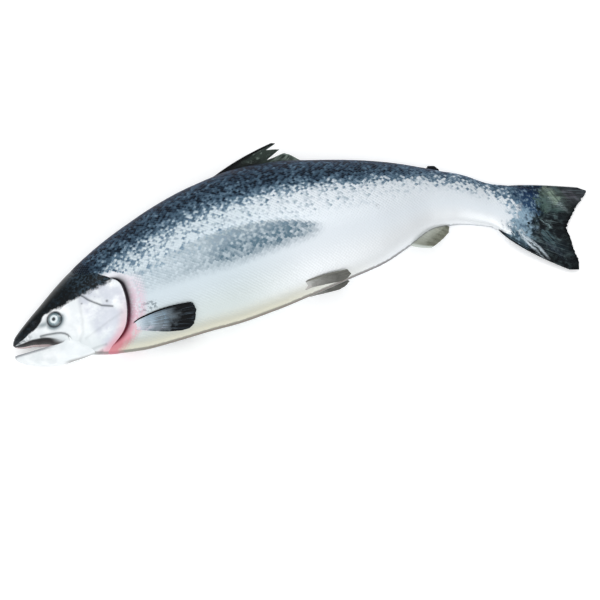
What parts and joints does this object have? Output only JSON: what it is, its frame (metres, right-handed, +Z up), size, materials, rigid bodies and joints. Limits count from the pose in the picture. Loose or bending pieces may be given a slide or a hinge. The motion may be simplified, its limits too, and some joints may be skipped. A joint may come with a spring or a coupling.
{
  "type": "whole salmon",
  "caption": "Whole raw salmon lying on its right side, left flank up, mouth slightly open, with all fins and a forked tail.",
  "frame": {"origin": "middle of the underside of the whole fish's bounding box, on the surface it lies on", "axes": "+X toward the tail, +Y toward the back of the fish, +Z up through the shown left flank"},
  "size_m": [0.7578, 0.244, 0.0895],
  "materials": {
    "salmon_skin": "wet, glossy, finely scaled skin",
    "eye_surface": "clear glossy"
  },
  "bodies": {
    "root": {"salmon": "salmon_skin", "eye_left": "eye_surface", "eye_right": "eye_surface"}
  },
  "joints": []
}
